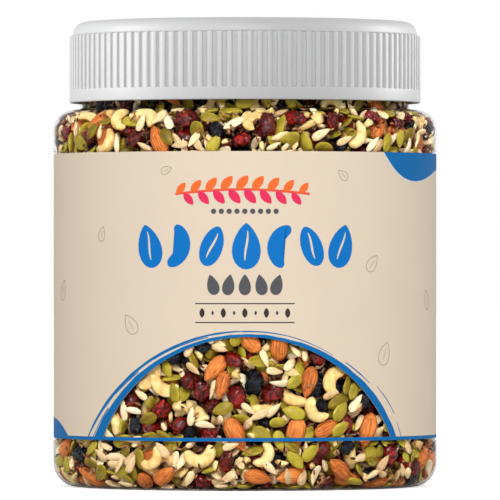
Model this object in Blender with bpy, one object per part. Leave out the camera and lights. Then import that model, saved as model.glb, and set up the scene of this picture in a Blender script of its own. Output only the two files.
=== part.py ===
"""Clear screw-top jar packed with trail mix, in a wrap label with an arched window.

Blender 4.5, metres, +Z up. The origin is on the axis, at the level that the jar stands on.
The label's window faces -Y. Run with: blender --background --python part.py
"""

import math
import random

import bmesh
import bpy
from mathutils import Matrix, Vector

# Driving sizes
BODY_RADIUS = 0.0800
BODY_TOP = 0.1569
NECK_RADIUS = 0.0687
NECK_TOP = 0.1906
WALL = 0.0007
GAP = 0.0003

# Jar form
BASE_FILLET = 0.0100
SHOULDER_FILLET = 0.0084
NECK_FILLET = 0.0012
FOOT_INNER_RADIUS = 0.0610
PUSH_UP_RADIUS = 0.0540
PUSH_UP = 0.0030
JAR_SIDES = 56
FILLET_STEPS = 3

# Label, let into a shallow panel so that it lies flush with the bands above and below
LABEL_THICKNESS = 0.0003
LABEL_BOTTOM = 0.0204
LABEL_TOP = 0.1386
LABEL_BAR_TOP = 0.0218
WINDOW_RADIUS = 0.0628
WINDOW_STEPS = 32
LABEL_BACK_STEPS = 64
PANEL_DEPTH = GAP + LABEL_THICKNESS
PANEL_MARGIN = 0.0006
PANEL_SLOPE = 0.0006

# Cap
RIB_COUNT = 112
RIB_CREST_RADIUS = 0.0733
RIB_GROOVE_RADIUS = 0.0724
RIB_GROOVE = ((0.00, RIB_GROOVE_RADIUS), (0.42, RIB_GROOVE_RADIUS))
RIB_CREST = ((0.52, RIB_CREST_RADIUS), (0.90, RIB_CREST_RADIUS))
CAP_BOTTOM = 0.1599
RIB_BOTTOM = 0.1651
RIB_TOP = 0.1880
CAP_TOP = 0.1936
DOME_RADIUS = 0.0712
DOME_FILLET = 0.0050
DOME_STEPS = 3
SKIRT_INNER_RADIUS = 0.0702
CEILING = 0.1916
CEILING_CHAMFER = 0.0018

# Trail mix
MIX_TOP = 0.1860
CORE_DEPTH = 0.0042
CORE_SIDES = 32
CORE_BUMP = 0.0006
WALL_CLEARANCE = 0.0004
PIECE_DEPTH = 0.0030
FLAT_PIECE_DEPTH = 0.0034
BOTTOM_PIECES = 48
SHOULDER_PIECES = 45
WINDOW_PIECES = 46
WINDOW_MARGIN = 0.0060
SPREAD = (0.7548776662, 0.5698402910)
MIX_SEED = 7

# Each kind: length, width, thickness, sides, and where along it the rings lie with their relative width
KINDS = {
    "almond": (0.0150, 0.0090, 0.0062, 6, ((0.24, 0.86), (0.62, 0.92))),
    "cranberry": (0.0104, 0.0084, 0.0062, 5, ((0.22, 0.92), (0.72, 0.95))),
    "raisin": (0.0084, 0.0072, 0.0060, 5, ((0.22, 0.90), (0.75, 0.92))),
    "pumpkin_seed": (0.0092, 0.0056, 0.0026, 4, ((0.22, 0.92), (0.66, 1.0))),
    "sunflower_kernel": (0.0082, 0.0040, 0.0028, 4, ((0.22, 0.95), (0.62, 0.72))),
}
CASHEW = {"radius": 0.0050, "half_width": 0.0031, "half_thickness": 0.0030, "sides": 5}
CASHEW_STATIONS = ((-62, 0.88), (0, 1.0), (62, 0.92))
CASHEW_TIP_ANGLE = 104
ORDER = ("almond", "cranberry", "cashew", "pumpkin_seed", "almond", "raisin", "sunflower_kernel")

# Each material: colour, roughness and transmission
FINISHES = {
    "clear_plastic": ((0.95, 0.96, 0.97), 0.08, 1.0),
    "white_cap_plastic": ((0.80, 0.80, 0.80), 0.35, 0.0),
    "printed_label": ((0.78, 0.66, 0.52), 0.45, 0.0),
    "nuts_and_seeds": ((0.42, 0.25, 0.10), 0.60, 0.0),
}


def clear_scene():
    for obj in list(bpy.data.objects):
        bpy.data.objects.remove(obj, do_unlink=True)


def material(name):
    colour, roughness, transmission = FINISHES[name]
    made = bpy.data.materials.new(name)
    made.use_nodes = True
    shader = made.node_tree.nodes["Principled BSDF"]
    shader.inputs["Base Color"].default_value = (*colour, 1.0)
    shader.inputs["Roughness"].default_value = roughness
    shader.inputs["Metallic"].default_value = 0.0
    shader.inputs["Transmission Weight"].default_value = transmission
    made.diffuse_color = (*colour, 1.0)
    return made


def object_from(bm, name, finish, smooth_angle=35):
    """Turns a bmesh into a named object with outward faces, its own material and smooth round sides."""
    bmesh.ops.recalc_face_normals(bm, faces=bm.faces)
    mesh = bpy.data.meshes.new(name)
    bm.to_mesh(mesh)
    bm.free()
    mesh.shade_smooth()
    mesh.set_sharp_from_angle(angle=math.radians(smooth_angle))
    mesh.materials.append(material(finish))
    obj = bpy.data.objects.new(name, mesh)
    bpy.context.scene.collection.objects.link(obj)
    return obj


def arc(centre, radius, start_deg, end_deg, steps):
    """Points (r, z) on a fillet, both ends included."""
    angles = [math.radians(start_deg + (end_deg - start_deg) * i / steps) for i in range(steps + 1)]
    return [(centre[0] + radius * math.cos(a), centre[1] + radius * math.sin(a)) for a in angles]


def turned(bm, profile, sides):
    """Spins a profile of (r, z) points, which starts and ends on the axis, into a closed skin."""
    verts = [bm.verts.new((r, 0.0, z)) for r, z in profile]
    edges = [bm.edges.new(pair) for pair in zip(verts, verts[1:])]
    bmesh.ops.spin(
        bm, geom=verts + edges, cent=(0, 0, 0), axis=(0, 0, 1), angle=2 * math.pi, steps=sides, use_merge=True
    )
    bmesh.ops.remove_doubles(bm, verts=bm.verts, dist=1e-6)


def side_profile(inset, steps):
    """The jar's side as (r, z) points from the foot up to the neck's top, drawn inset from the outer face."""
    body = BODY_RADIUS - inset
    panel = body - PANEL_DEPTH
    panel_bottom = LABEL_BOTTOM - PANEL_MARGIN
    panel_top = LABEL_TOP + PANEL_MARGIN
    neck = NECK_RADIUS - inset
    turn = NECK_FILLET + inset
    points = arc((BODY_RADIUS - BASE_FILLET, BASE_FILLET), BASE_FILLET - inset, -90, 0, steps)
    points += [(body, panel_bottom - PANEL_SLOPE), (panel, panel_bottom)]
    points += [(panel, panel_top), (body, panel_top + PANEL_SLOPE)]
    shoulder_centre = (BODY_RADIUS - SHOULDER_FILLET, BODY_TOP - SHOULDER_FILLET)
    points += arc(shoulder_centre, SHOULDER_FILLET - inset, 0, 90, steps)
    points += arc((neck + turn, BODY_TOP - inset + turn), turn, 270, 180, 2)
    return points + [(neck, NECK_TOP)]


def jar():
    """A thin blown shell: foot ring, pushed-up base, label panel, round shoulder and plain open neck."""
    outer = [(0, PUSH_UP), (PUSH_UP_RADIUS, PUSH_UP), (FOOT_INNER_RADIUS, 0)]
    outer += side_profile(0, FILLET_STEPS)
    inner = side_profile(WALL, FILLET_STEPS)[::-1]
    inner += [(FOOT_INNER_RADIUS, WALL), (PUSH_UP_RADIUS, PUSH_UP + WALL), (0, PUSH_UP + WALL)]
    bm = bmesh.new()
    turned(bm, outer + inner, JAR_SIDES)
    return object_from(bm, "jar", "clear_plastic")


def rib_ring(bm, z, corners):
    """One loop through the given corners, (share of the pitch, radius), of every rib."""
    ring = []
    for rib in range(RIB_COUNT):
        for share, radius in corners:
            angle = 2 * math.pi * (rib + share) / RIB_COUNT
            ring.append(bm.verts.new((radius * math.cos(angle), radius * math.sin(angle), z)))
    return ring


def plain_ring(bm, radius, z):
    """A smooth loop with one vertex for every two ribs."""
    ring = []
    for pair in range(RIB_COUNT // 2):
        angle = 4 * math.pi * pair / RIB_COUNT
        ring.append(bm.verts.new((radius * math.cos(angle), radius * math.sin(angle), z)))
    return ring


def join_rings(bm, low, high):
    """Quads between two loops with the same number of vertices."""
    count = len(low)
    for i in range(count):
        j = (i + 1) % count
        bm.faces.new((low[i], low[j], high[j], high[i]))


def cap():
    """A screw cap: plain lip, ribbed grip, round-edged top, and a plain hollow over the neck."""
    bm = bmesh.new()
    rib_low = rib_ring(bm, RIB_BOTTOM, RIB_GROOVE + RIB_CREST)
    rib_high = rib_ring(bm, RIB_TOP, RIB_GROOVE + RIB_CREST)
    join_rings(bm, rib_low, rib_high)

    # The lip runs flush with the crests, so only the grooves step out to it
    lip_high = [v for i, v in enumerate(rib_low) if i % 4 >= 2]
    lip_low = rib_ring(bm, CAP_BOTTOM, RIB_CREST)
    join_rings(bm, lip_low, lip_high)
    for i in range(0, len(rib_low), 4):
        bm.faces.new((rib_low[i - 1], rib_low[i], rib_low[i + 1], rib_low[i + 2]))

    dome = plain_ring(bm, DOME_RADIUS, RIB_TOP)
    close_over_ribs(bm, rib_high, dome)
    centre = (DOME_RADIUS - DOME_FILLET, CAP_TOP - DOME_FILLET)
    for r, z in arc(centre, DOME_FILLET, 0, 90, DOME_STEPS):
        upper = plain_ring(bm, r, z)
        join_rings(bm, dome, upper)
        dome = upper
    bm.faces.new(dome)

    skirt_low = plain_ring(bm, SKIRT_INNER_RADIUS, CAP_BOTTOM)
    skirt_high = plain_ring(bm, SKIRT_INNER_RADIUS, CEILING - CEILING_CHAMFER)
    ceiling = plain_ring(bm, SKIRT_INNER_RADIUS - CEILING_CHAMFER, CEILING)
    close_over_ribs(bm, lip_low, skirt_low)
    join_rings(bm, skirt_low, skirt_high)
    join_rings(bm, skirt_high, ceiling)
    bm.faces.new(ceiling)
    return object_from(bm, "cap", "white_cap_plastic", 25)


def close_over_ribs(bm, ribbed, plain):
    """Joins a ribbed loop to a plain one in the same plane, a pair of ribs at a time."""
    per_pair = 2 * len(ribbed) // RIB_COUNT
    for pair in range(len(plain)):
        start = per_pair * pair
        rim = [ribbed[(start + i) % len(ribbed)] for i in range(per_pair + 1)]
        bm.faces.new((*rim, plain[(pair + 1) % len(plain)], plain[pair]))


def label_columns():
    """Angles from the front (-Y) round to the right, each with the heights at which the label starts and ends."""
    corner = math.asin(math.sqrt(WINDOW_RADIUS**2 - LABEL_BAR_TOP**2) / BODY_RADIUS)
    columns = [(-corner, (LABEL_BOTTOM, LABEL_BAR_TOP, LABEL_TOP))]
    for i in range(1, WINDOW_STEPS):
        angle = corner * math.sin(math.pi * (i / WINDOW_STEPS - 0.5))
        arch = math.sqrt(WINDOW_RADIUS**2 - (BODY_RADIUS * math.sin(angle)) ** 2)
        columns.append((angle, (LABEL_BOTTOM, LABEL_BAR_TOP, arch, LABEL_TOP)))
    columns.append((corner, (LABEL_BOTTOM, LABEL_BAR_TOP, LABEL_TOP)))
    for i in range(1, LABEL_BACK_STEPS):
        angle = corner + (2 * math.pi - 2 * corner) * i / LABEL_BACK_STEPS
        columns.append((angle, (LABEL_BOTTOM, LABEL_TOP)))
    return columns


def label():
    """A printed sleeve round the whole jar with an arched window over a narrow bar."""
    bm = bmesh.new()
    columns = []
    for angle, heights in label_columns():
        column = {}
        for side, radius in (("out", BODY_RADIUS), ("in", BODY_RADIUS - LABEL_THICKNESS)):
            x, y = radius * math.sin(angle), -radius * math.cos(angle)
            column[side] = [bm.verts.new((x, y, z)) for z in heights]
        columns.append(column)
    for a, b in zip(columns, columns[1:] + columns[:1]):
        window_between = min(len(a["out"]), len(b["out"])) > 2
        for side in ("out", "in"):
            if window_between:
                for low, high in ((0, 1), (-2, -1)):
                    bm.faces.new((a[side][low], b[side][low], b[side][high], a[side][high]))
            else:
                bm.faces.new(b[side] + a[side][::-1])
        for level in (0, 1, -2, -1) if window_between else (0, -1):
            bm.faces.new((a["out"][level], b["out"][level], b["in"][level], a["in"][level]))
    return object_from(bm, "label", "printed_label")


def lofted(stations, sides, tips):
    """A closed lump through elliptical rings. Each station is (centre, across, half width, half thickness)."""
    bm = bmesh.new()
    rings = []
    for centre, across, half_width, half_thickness in stations:
        ring = []
        for k in range(sides):
            a = 2 * math.pi * (k + 0.5) / sides
            offset = across * half_width * math.cos(a) + Vector((0, 0, half_thickness * math.sin(a)))
            ring.append(bm.verts.new(centre + offset))
        rings.append(ring)
    for low, high in zip(rings, rings[1:]):
        join_rings(bm, low, high)
    for tip, ring in ((tips[0], rings[0]), (tips[1], rings[-1])):
        point = bm.verts.new(tip)
        for i in range(sides):
            bm.faces.new((point, ring[i], ring[(i + 1) % sides]))
    bmesh.ops.recalc_face_normals(bm, faces=bm.faces)
    return bm


def straight_piece(kind):
    """A nut, fruit or seed along X, with its widest side facing Z."""
    length, width, thickness, sides, rings = KINDS[kind]
    stations = []
    for share, fullness in rings:
        centre = Vector((length * (share - 0.5), 0, 0))
        stations.append((centre, Vector((0, 1, 0)), fullness * width / 2, fullness * thickness / 2))
    return lofted(stations, sides, (Vector((-length / 2, 0, 0)), Vector((length / 2, 0, 0))))


def cashew_piece():
    """A crescent bent round Z."""
    radius = CASHEW["radius"]
    middle = Vector((-radius / 2, 0, 0))

    def on_bend(degrees):
        return Vector((math.cos(math.radians(degrees)), math.sin(math.radians(degrees)), 0))

    stations = [
        (
            middle + on_bend(angle) * radius,
            on_bend(angle),
            fullness * CASHEW["half_width"],
            fullness * CASHEW["half_thickness"],
        )
        for angle, fullness in CASHEW_STATIONS
    ]
    tips = [middle + on_bend(angle) * radius for angle in (-CASHEW_TIP_ANGLE, CASHEW_TIP_ANGLE)]
    return lofted(stations, CASHEW["sides"], tips)


def depth_below(point, profile):
    """How far a point lies inside the jar's inner wall, measured to the nearest stretch of its profile."""
    flat = Vector((math.hypot(point.x, point.y), point.z))
    nearest, depth = 1e9, 0.0
    for start, end in zip(profile, profile[1:]):
        along = end - start
        share = min(1.0, max(0.0, (flat - start).dot(along) / along.length_squared))
        gap = flat - start - along * share
        if gap.length < nearest:
            nearest = gap.length
            depth = math.copysign(gap.length, gap.dot(Vector((-along.y, along.x))))
    return depth


def place_on_wall(profile, travel, angle):
    """The frame (out of the jar's wall) at a distance along its inner profile, at an angle from the front."""
    for start, end in zip(profile, profile[1:]):
        step = (end - start).length
        if travel <= step:
            break
        travel -= step
    along = (end - start).normalized()
    spot = start + along * travel
    out = Vector((math.sin(angle), -math.cos(angle), 0))
    up = out * along.x + Vector((0, 0, along.y))
    inward = out * -along.y + Vector((0, 0, along.x))
    return out * spot.x + Vector((0, 0, spot.y)), up, inward


def piece_against_wall(profile, kind, frame, rng):
    """One nut, fruit or seed, turned at random and pushed in until all of it clears the wall."""
    spot, up, inward = frame
    axes = Matrix((up.cross(inward), up, inward)).transposed()
    spin = Matrix.Rotation(rng.uniform(0, 2 * math.pi), 3, "Z")
    tilt = Matrix.Rotation(rng.uniform(-0.35, 0.35), 3, "X")
    turn = axes @ spin @ tilt
    bm = cashew_piece() if kind == "cashew" else straight_piece(kind)
    flat = kind in ("pumpkin_seed", "sunflower_kernel")
    centre = spot + inward * (FLAT_PIECE_DEPTH if flat else PIECE_DEPTH)
    for _ in range(3):
        lowest = min(depth_below(centre + turn @ v.co, profile) for v in bm.verts)
        centre += inward * max(0.0, WALL_CLEARANCE - lowest)
    for v in bm.verts:
        v.co = centre + turn @ v.co
    mesh = bpy.data.meshes.new(kind)
    bm.to_mesh(mesh)
    bm.free()
    return bpy.data.objects.new(kind, mesh)


def travel_at(profile, height):
    """Distance along the inner profile at which it reaches a height on the side wall."""
    travel = 0.0
    for start, end in zip(profile, profile[1:]):
        if end.y >= height > start.y:
            return travel + (end - start).length * (height - start.y) / (end.y - start.y)
        travel += (end - start).length
    return travel


def shows_in_window(spot):
    reach = math.hypot(spot.x, spot.z)
    return spot.z > LABEL_BAR_TOP and reach < WINDOW_RADIUS - WINDOW_MARGIN


def mix_pieces(profile, rng):
    """The pieces that show, spread evenly in the bands under and over the label and in its window."""
    neck = travel_at(profile, BODY_TOP + 0.005)
    label_low = travel_at(profile, LABEL_BOTTOM - 0.004)
    label_high = travel_at(profile, LABEL_TOP + 0.004)
    window = (travel_at(profile, LABEL_BAR_TOP + 0.004), travel_at(profile, WINDOW_RADIUS), 0.28)
    bands = (
        (BOTTOM_PIECES, 0.012, label_low, 1.0),
        (SHOULDER_PIECES, label_high, neck, 1.0),
        (WINDOW_PIECES, *window),
    )
    pieces = []
    for count, low, high, share_of_turn in bands:
        for k in range(count):
            across, along = ((k * step) % 1.0 for step in SPREAD)
            angle = math.pi * share_of_turn * (2 * across - 1)
            frame = place_on_wall(profile, low + (high - low) * along, angle)
            if share_of_turn == 1.0 or shows_in_window(frame[0]):
                kind = ORDER[len(pieces) % len(ORDER)]
                pieces.append(piece_against_wall(profile, kind, frame, rng))
    return pieces


def trail_mix():
    """The heap that fills the jar: an uneven core with the pieces that show fused onto it."""
    rng = random.Random(MIX_SEED)
    wall = [Vector(p) for p in [(FOOT_INNER_RADIUS, WALL)] + side_profile(WALL, 2 * FILLET_STEPS)]
    bottom = PUSH_UP + WALL + GAP
    low_radius = FOOT_INNER_RADIUS - 0.004
    core = [(0, bottom), (PUSH_UP_RADIUS, bottom), (low_radius, bottom)]
    inset = WALL + CORE_DEPTH
    body = BODY_RADIUS - inset
    neck = NECK_RADIUS - inset
    core += arc((BODY_RADIUS - BASE_FILLET, BASE_FILLET), BASE_FILLET - inset, -90, 0, 2)
    core += [(body, LABEL_BOTTOM), (body, WINDOW_RADIUS), (body, LABEL_TOP)]
    core += [(body - 0.001, BODY_TOP - inset - 0.003), (body - 0.006, BODY_TOP - inset)]
    core += [(neck, BODY_TOP - inset + 0.002), (neck, BODY_TOP + 0.006)]
    core += [(neck, MIX_TOP - 0.004), (neck - 0.006, MIX_TOP), (0.035, MIX_TOP), (0, MIX_TOP)]
    bm = bmesh.new()
    turned(bm, core, CORE_SIDES)
    for v in bm.verts:
        radial = Vector((v.co.x, v.co.y, 0))
        if radial.length > low_radius:
            v.co += radial.normalized() * rng.uniform(-CORE_BUMP, CORE_BUMP)
        elif v.co.z > BODY_TOP:
            v.co.z += rng.uniform(-2 * CORE_BUMP, 0)
    heap = object_from(bm, "trail_mix", "nuts_and_seeds")

    pieces = bpy.data.collections.new("pieces")
    bpy.context.scene.collection.children.link(pieces)
    for piece in mix_pieces(wall, rng):
        pieces.objects.link(piece)
    fuse = heap.modifiers.new("fuse", "BOOLEAN")
    fuse.operation = "UNION"
    fuse.operand_type = "COLLECTION"
    fuse.collection = pieces
    apply_modifiers(heap)
    drop_scrap(heap)
    for piece in list(pieces.objects):
        bpy.data.objects.remove(piece, do_unlink=True)
    bpy.data.collections.remove(pieces)
    return heap


def apply_modifiers(obj):
    bpy.context.view_layer.update()
    evaluated = obj.evaluated_get(bpy.context.evaluated_depsgraph_get())
    mesh = bpy.data.meshes.new_from_object(evaluated)
    obj.modifiers.clear()
    obj.data = mesh


def drop_scrap(obj):
    """Keeps the largest shell, without the small pockets that pieces close off between them."""
    bm = bmesh.new()
    bm.from_mesh(obj.data)
    left = set(bm.verts)
    shells = []
    while left:
        front = [left.pop()]
        shell = list(front)
        while front:
            for edge in front.pop().link_edges:
                reached = [v for v in edge.verts if v in left]
                left.difference_update(reached)
                front += reached
                shell += reached
        shells.append(shell)
    shells.sort(key=len)
    for shell in shells[:-1]:
        bmesh.ops.delete(bm, geom=shell, context="VERTS")
    bm.to_mesh(obj.data)
    bm.free()


def main():
    clear_scene()
    jar()
    cap()
    label()
    trail_mix()


main()
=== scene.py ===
"""Finishes the jar of trail mix: clear plastic, ribbed cap, printed label, and each nut, fruit and seed."""

import itertools
import math

import bmesh
import bpy
import numpy as np
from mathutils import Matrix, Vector, noise


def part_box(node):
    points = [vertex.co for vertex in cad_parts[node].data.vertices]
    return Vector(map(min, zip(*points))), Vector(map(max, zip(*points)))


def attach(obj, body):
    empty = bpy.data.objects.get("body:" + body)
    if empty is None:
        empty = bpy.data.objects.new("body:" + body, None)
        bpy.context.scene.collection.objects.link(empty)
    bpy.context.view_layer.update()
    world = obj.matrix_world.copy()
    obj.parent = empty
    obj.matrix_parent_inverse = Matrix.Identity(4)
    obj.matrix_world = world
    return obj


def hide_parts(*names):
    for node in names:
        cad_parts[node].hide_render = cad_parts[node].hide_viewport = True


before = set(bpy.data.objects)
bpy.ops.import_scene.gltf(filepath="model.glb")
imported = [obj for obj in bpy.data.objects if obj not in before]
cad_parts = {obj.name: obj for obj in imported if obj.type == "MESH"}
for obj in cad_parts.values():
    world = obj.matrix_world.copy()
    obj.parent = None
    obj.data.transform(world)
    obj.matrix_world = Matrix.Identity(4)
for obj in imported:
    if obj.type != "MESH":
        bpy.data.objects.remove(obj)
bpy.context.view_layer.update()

JAR_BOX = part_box("jar")
CAP_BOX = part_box("cap")
LABEL_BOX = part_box("label")
MIX_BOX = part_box("trail_mix")

# Jar, with its wall drawn thinner than in the CAD so that the mix lies as near the outline as it looks
BODY_RADIUS = JAR_BOX[1][0]
NECK_TOP = JAR_BOX[1][2]
BODY_TOP = 0.1569
NECK_RADIUS = 0.0687
WALL = 0.0004
BASE_FILLET = 0.0100
SHOULDER_FILLET = 0.0084
NECK_FILLET = 0.0012
FOOT_INNER_RADIUS = 0.0610
PUSH_UP_RADIUS = 0.0540
PUSH_UP = 0.0030
PANEL_DEPTH = 0.0006
PANEL_MARGIN = 0.0006

# Label, sunk in the jar's panel, with the ink a little proud of the sleeve
LABEL_BOTTOM = LABEL_BOX[0][2]
LABEL_TOP = LABEL_BOX[1][2]
LABEL_BAR_TOP = 0.0218
LABEL_OUTER = BODY_RADIUS - 0.00012
LABEL_INNER = BODY_RADIUS - 0.00030
INK_RADIUS = BODY_RADIUS - 0.00006
WINDOW_RADIUS = 0.0629
WINDOW_SHIFT = 0.0008

# Print: how finely curves are stepped, and where each row of pictures stands on the label
PRINT_STEP = 0.0025
INK_LAYER = 0.00002
BAR_STEPS, BAND_STEPS, STROKE_STEPS, WAVE_STEPS = 240, 120, 110, 90
BAND_ROUGHNESS = 0.00035
STROKE_UNEVENNESS = 0.35
WAVE_EDGE_DROP, WAVE_EDGE_WIDTH = 0.0004, 0.0005
SPRIG_HEIGHT, SPRIG_RISE = 0.1212, 0.0018
LEAF_COUNT, LEAF_START, LEAF_SPAN = 17, -0.0265, 0.051
STEM_WIDTH, STEM_START, STEM_SPAN = 0.0010, -0.0290, 0.056
DOT_ROW_HEIGHT, DOT_REACH, DOT_COUNT = 0.1141, 0.0128, 9
PICTURE_HEIGHT = 0.0999
SEED_ROW_HEIGHT = 0.0842
RULE_HEIGHTS, RULE_REACH, RULE_WIDTH = (0.0765, 0.0688), 0.0205, 0.00045
DIAMOND_HEIGHT, DIAMOND_REACH, DIAMOND_COUNT = 0.0727, 0.0176, 9
PICTURE_RIB_WIDTHS = (0.0003, 0.0006, 0.0008, 0.0009, 0.0009, 0.0009, 0.0008, 0.0006, 0.0003)
# A crescent's outline has more points than this, and the other pictures' have fewer
CRESCENT_POINTS = 30
PRINT_COLOURS = {
    "label_beige": (0.755, 0.630, 0.492),
    "blue_ink": (0.002, 0.148, 0.420),
    "bold_blue_ink": (0.002, 0.170, 0.540),
    "orange_ink": (0.880, 0.160, 0.030),
    "coral_ink": (0.860, 0.090, 0.060),
    "pink_ink": (0.800, 0.030, 0.110),
    "grey_ink": (0.095, 0.095, 0.105),
    "dark_ink": (0.045, 0.036, 0.032),
    "faint_ink": (0.330, 0.260, 0.200),
    "pale_ink": (0.700, 0.730, 0.740),
}

# Cap, with ribs between a plain lip and a domed edge
CAP_BOTTOM = CAP_BOX[0][2]
CAP_TOP = CAP_BOX[1][2]
RIB_COUNT = 112
RIB_CREST_RADIUS = 0.0733
RIB_DEPTH = 0.0009
RIB_BOTTOM = 0.1651
RIB_TOP = 0.1880
RIB_END = 0.0003
LIP_ROUND = 0.0005
DOME_RADIUS = 0.0718
DOME_FILLET = 0.0050
SKIRT_INNER_RADIUS = 0.0702
CEILING = 0.1916
CEILING_CORNER = 0.0018
TOP_PANEL_RADIUS = 0.0610
TOP_PANEL_DEPTH = 0.0006

# Light: the room's brightness, the share of it overhead, lamps in watts, and the floor's own glow
ROOM_LIGHT = 0.96
CEILING_LIGHT = 0.4
FRONT_LIGHT = 22.8
CAP_LEFT_LIGHT = 18.5
CAP_RIGHT_LIGHT = 16.5
FLOOR_GLOW = 0.6
FLOOR_RADIUS, FLOOR_DROP = 14.0, 0.0001

# Camera, far back with a long lens, a little under the jar's middle
CAMERA_PLACE = Vector((0.00209, -3.09, 0.0881))
CAMERA_TARGET = Vector((0.00209, 0.0, 0.0986))
CAMERA_LENS = 532.6


def feed(tree, node, entries):
    """Gives a node's sockets what they take: a constant, or another node's output."""
    for socket, value in entries.items():
        if isinstance(value, bpy.types.NodeSocket):
            tree.links.new(value, node.inputs[socket])
        else:
            node.inputs[socket].default_value = value


def add_node(tree, kind, entries=None, **settings):
    """A new node with its settings, and what its sockets take."""
    node = tree.nodes.new(kind)
    for key, value in settings.items():
        setattr(node, key, value)
    feed(tree, node, entries or {})
    return node


def object_place(tree):
    return add_node(tree, "ShaderNodeTexCoord").outputs["Object"]


def attribute(tree, name, output="Fac"):
    """What each point of a mesh carries under a name."""
    return add_node(tree, "ShaderNodeAttribute", attribute_name=name).outputs[output]


def arithmetic(tree, operation, *values):
    """What a Math node makes of numbers and other nodes' outputs."""
    return add_node(tree, "ShaderNodeMath", dict(enumerate(values)), operation=operation).outputs["Value"]


def scaled_colour(tree, colour, share):
    return add_node(
        tree, "ShaderNodeVectorMath", {0: colour, "Scale": share}, operation="SCALE"
    ).outputs["Vector"]


def blended(tree, share, first, second):
    """A colour between two others, by a share that is kept from 0 to 1."""
    entries = {"Factor": share, "A": first, "B": second}
    return add_node(tree, "ShaderNodeMix", entries, data_type="RGBA", clamp_factor=True).outputs["Result"]


def principled(material):
    return material.node_tree.nodes["Principled BSDF"]


def new_material(name, colour, roughness, **sockets):
    """A Principled material with the constants that are the same all over it."""
    made = bpy.data.materials.new(name)
    made.use_nodes = True
    entries = {"Base Color": (*colour, 1.0), "Roughness": roughness}
    entries.update({socket.replace("_", " "): value for socket, value in sockets.items()})
    feed(made.node_tree, principled(made), entries)
    return made


def raise_surface(material, height, strength, distance):
    """Bumps a material by a height that changes over its surface."""
    tree = material.node_tree
    bump = add_node(tree, "ShaderNodeBump", {"Height": height, "Strength": strength, "Distance": distance})
    feed(tree, principled(material), {"Normal": bump.outputs["Normal"]})


def shader_group(name, takes, gives):
    """An empty node group: inputs with their defaults, each a colour or a number, and its outputs' names."""
    group = bpy.data.node_groups.new(name, "ShaderNodeTree")
    for socket, default in takes.items():
        kind = "NodeSocketColor" if isinstance(default, tuple) else "NodeSocketFloat"
        made = group.interface.new_socket(name=socket, in_out="INPUT", socket_type=kind)
        made.default_value = default
    for socket in gives:
        kind = "NodeSocketColor" if socket == "Color" else "NodeSocketFloat"
        group.interface.new_socket(name=socket, in_out="OUTPUT", socket_type=kind)
    return group, group.nodes.new("NodeGroupInput").outputs, group.nodes.new("NodeGroupOutput")


def mesh_piece(name, points, faces, material, slot):
    """A smooth piece of the object from its points and faces."""
    mesh = bpy.data.meshes.new(name)
    mesh.from_pydata([tuple(p) for p in points], [], faces)
    mesh.shade_smooth()
    mesh.materials.append(material)
    return link_piece(name, mesh)


def link_piece(name, mesh):
    """A piece made of a mesh, riding with the jar."""
    piece = bpy.data.objects.new(name, mesh)
    bpy.context.scene.collection.objects.link(piece)
    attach(piece, "root")
    return piece


def arc(centre, radius, start_deg, end_deg, steps):
    """Points (r, z) on a fillet, both ends included."""
    angles = np.radians(np.linspace(start_deg, end_deg, steps + 1))
    return [(centre[0] + radius * math.cos(a), centre[1] + radius * math.sin(a)) for a in angles]


def closed_skin(loops):
    """Points and faces of a skin over loops of points. A loop on the axis becomes one vertex."""
    points, rings, faces = [], [], []
    for loop in loops:
        if math.hypot(*loop[0][:2]) < 1e-7:
            rings.append([len(points)] * len(loop))
            points.append((0.0, 0.0, loop[0][2]))
        else:
            rings.append(list(range(len(points), len(points) + len(loop))))
            points += loop
    for low, high in zip(rings, rings[1:]):
        for k in range(len(low)):
            j = (k + 1) % len(low)
            faces.append(tuple(dict.fromkeys((low[k], low[j], high[j], high[k]))))
    return points, faces


def turned_piece(name, profile, columns, material, slot):
    """A closed skin turned from (r, z) points."""
    angles = [2 * math.pi * k / columns for k in range(columns)]
    loops = [[(r * math.sin(a), -r * math.cos(a), z) for a in angles] for r, z in profile]
    return mesh_piece(name, *closed_skin(loops), material, slot)


def side_profile(inset, steps):
    """The jar's side as (r, z) points from the foot up to the neck's top, drawn inset from the outer face."""
    body = BODY_RADIUS - inset
    panel = body - PANEL_DEPTH
    panel_bottom = LABEL_BOTTOM - PANEL_MARGIN
    panel_top = LABEL_TOP + PANEL_MARGIN
    neck = NECK_RADIUS - inset
    turn = NECK_FILLET + inset
    points = arc((BODY_RADIUS - BASE_FILLET, BASE_FILLET), BASE_FILLET - inset, -90, 0, steps)
    points += [(body, panel_bottom - PANEL_MARGIN), (panel, panel_bottom)]
    points += [(panel, panel_top), (body, panel_top + PANEL_MARGIN)]
    shoulder_centre = (BODY_RADIUS - SHOULDER_FILLET, BODY_TOP - SHOULDER_FILLET)
    points += arc(shoulder_centre, SHOULDER_FILLET - inset, 0, 90, steps)
    points += arc((neck + turn, BODY_TOP - inset + turn), turn, 270, 180, max(2, steps // 2))
    return points + [(neck, NECK_TOP)]


def clear_plastic():
    """Clear moulded plastic that lets the lights reach what is inside."""
    material = new_material(
        "clear_plastic", (0.98, 0.985, 0.985), 0.03, Transmission_Weight=1.0, IOR=1.03
    )
    tree = material.node_tree
    ripple = add_node(tree, "ShaderNodeTexNoise", {"Vector": object_place(tree), "Scale": 60.0})
    raise_surface(material, ripple.outputs["Fac"], 0.04, 0.0004)
    rays = add_node(tree, "ShaderNodeLightPath")
    clear = add_node(tree, "ShaderNodeBsdfTransparent")
    entries = {"Fac": rays.outputs["Is Shadow Ray"], 1: principled(material).outputs["BSDF"]}
    mix = add_node(tree, "ShaderNodeMixShader", {**entries, 2: clear.outputs["BSDF"]})
    feed(tree, tree.nodes["Material Output"], {"Surface": mix.outputs["Shader"]})
    return material


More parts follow.
